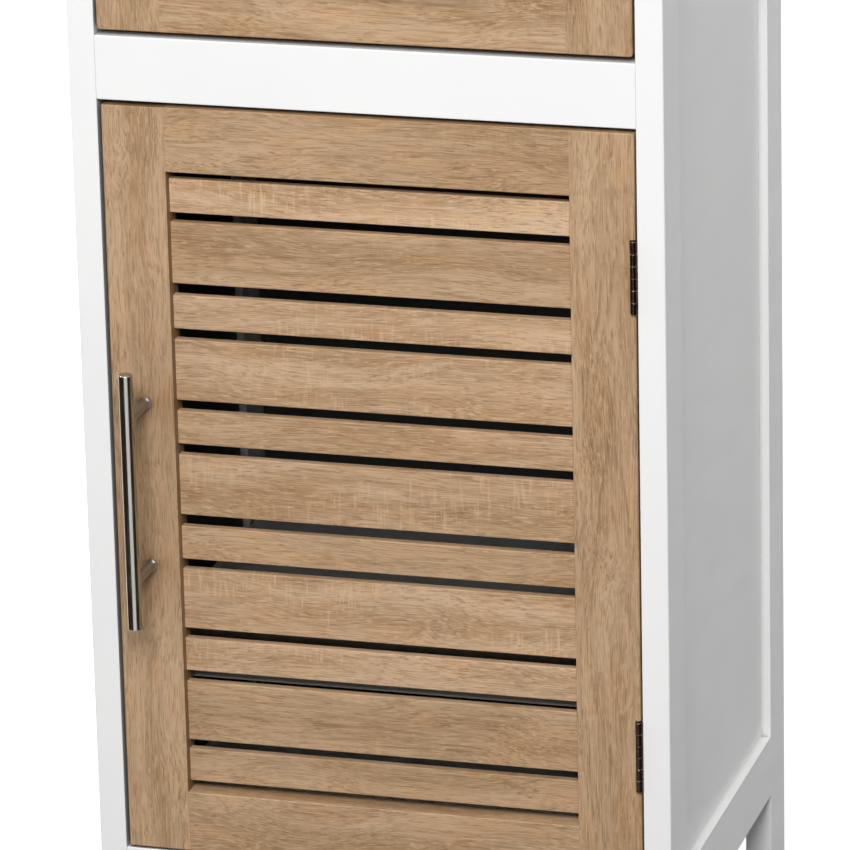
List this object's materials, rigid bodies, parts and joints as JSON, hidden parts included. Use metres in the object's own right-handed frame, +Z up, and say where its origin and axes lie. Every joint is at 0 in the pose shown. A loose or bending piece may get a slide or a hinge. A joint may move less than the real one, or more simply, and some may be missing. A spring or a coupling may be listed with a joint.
{
  "type": "bathroom floor cabinet",
  "caption": "Narrow free-standing bathroom cabinet on legs: white framed case, oak-look drawer over a slatted oak-look door with steel bar handles.",
  "frame": {"origin": "on the floor, under the middle of the whole cabinet with its handles counted in the depth", "axes": "+X to the right seen from the front, +Y to the back, +Z up"},
  "size_m": [0.37, 0.3332, 0.8],
  "materials": {
    "white_paint": "satin white lacquer on MDF",
    "white_hardboard": "thin board with a white face",
    "oak_foil": "light oak grain, matt",
    "dowel_beech": "raw beech",
    "handle_steel": "brushed round the bar",
    "zinc_steel": "bright zinc plated",
    "hinge_bronze": "dark antique bronze plating",
    "white_plastic": "moulded",
    "runner_plastic": "extruded, smooth"
  },
  "bodies": {
    "cabinet": {"top_board": "white_paint", "front_top_rail": "white_paint", "front_cross_rail": "white_paint", "front_bottom_rail": "white_paint", "back_top_rail": "white_paint", "back_cross_rail": "white_paint", "back_bottom_rail": "white_paint", "back_panel": "white_hardboard", "floor_panel": "white_paint", "divider_panel": "white_hardboard", "shelf": "white_paint", "shelf_pins": "zinc_steel", "drawer_runners": "runner_plastic", "hinge_cabinet_leaves": "hinge_bronze", "hinge_pins": "hinge_bronze", "magnetic_catch": "white_plastic", "foot_glides": "white_plastic", "dowels": "dowel_beech", "cabinet_screws": "zinc_steel", "left_front_leg": "white_paint", "left_rear_leg": "white_paint", "left_bottom_side_rail": "white_paint", "left_top_side_rail": "white_paint", "left_side_panel": "white_paint", "right_front_leg": "white_paint", "right_rear_leg": "white_paint", "right_bottom_side_rail": "white_paint", "right_top_side_rail": "white_paint", "right_side_panel": "white_paint"},
    "door": {"door_left_stile": "oak_foil", "door_right_stile": "oak_foil", "door_top_rail": "oak_foil", "door_bottom_rail": "oak_foil", "hinge_door_leaves": "hinge_bronze", "catch_strike_plate": "zinc_steel", "door_screws": "zinc_steel", "door_handle_bar": "handle_steel", "door_handle_posts": "handle_steel", "door_handle_screws": "zinc_steel", "door_narrow_slat_1": "oak_foil", "door_narrow_slat_2": "oak_foil", "door_narrow_slat_3": "oak_foil", "door_narrow_slat_4": "oak_foil", "door_narrow_slat_5": "oak_foil", "door_narrow_slat_6": "oak_foil", "door_wide_slat_1": "oak_foil", "door_wide_slat_2": "oak_foil", "door_wide_slat_3": "oak_foil", "door_wide_slat_4": "oak_foil", "door_wide_slat_5": "oak_foil"},
    "drawer": {"drawer_front_left_stile": "oak_foil", "drawer_front_board": "oak_foil", "drawer_front_right_stile": "oak_foil", "drawer_left_side": "white_paint", "drawer_right_side": "white_paint", "drawer_back": "white_paint", "drawer_bottom": "white_hardboard", "drawer_handle_bar": "handle_steel", "drawer_handle_posts": "handle_steel", "drawer_handle_screws": "zinc_steel"}
  },
  "joints": [
    {"name": "door_hinge", "type": "hinge", "parent": "cabinet", "child": "door", "pos_m": [0.15685, -0.13, 0.35535], "axis": [0, 0, 1], "range_deg": [0, 170]},
    {"name": "drawer_slide", "type": "slide", "parent": "cabinet", "child": "drawer", "axis": [0, -1, 0], "range_m": [0, 0.2]}
  ]
}
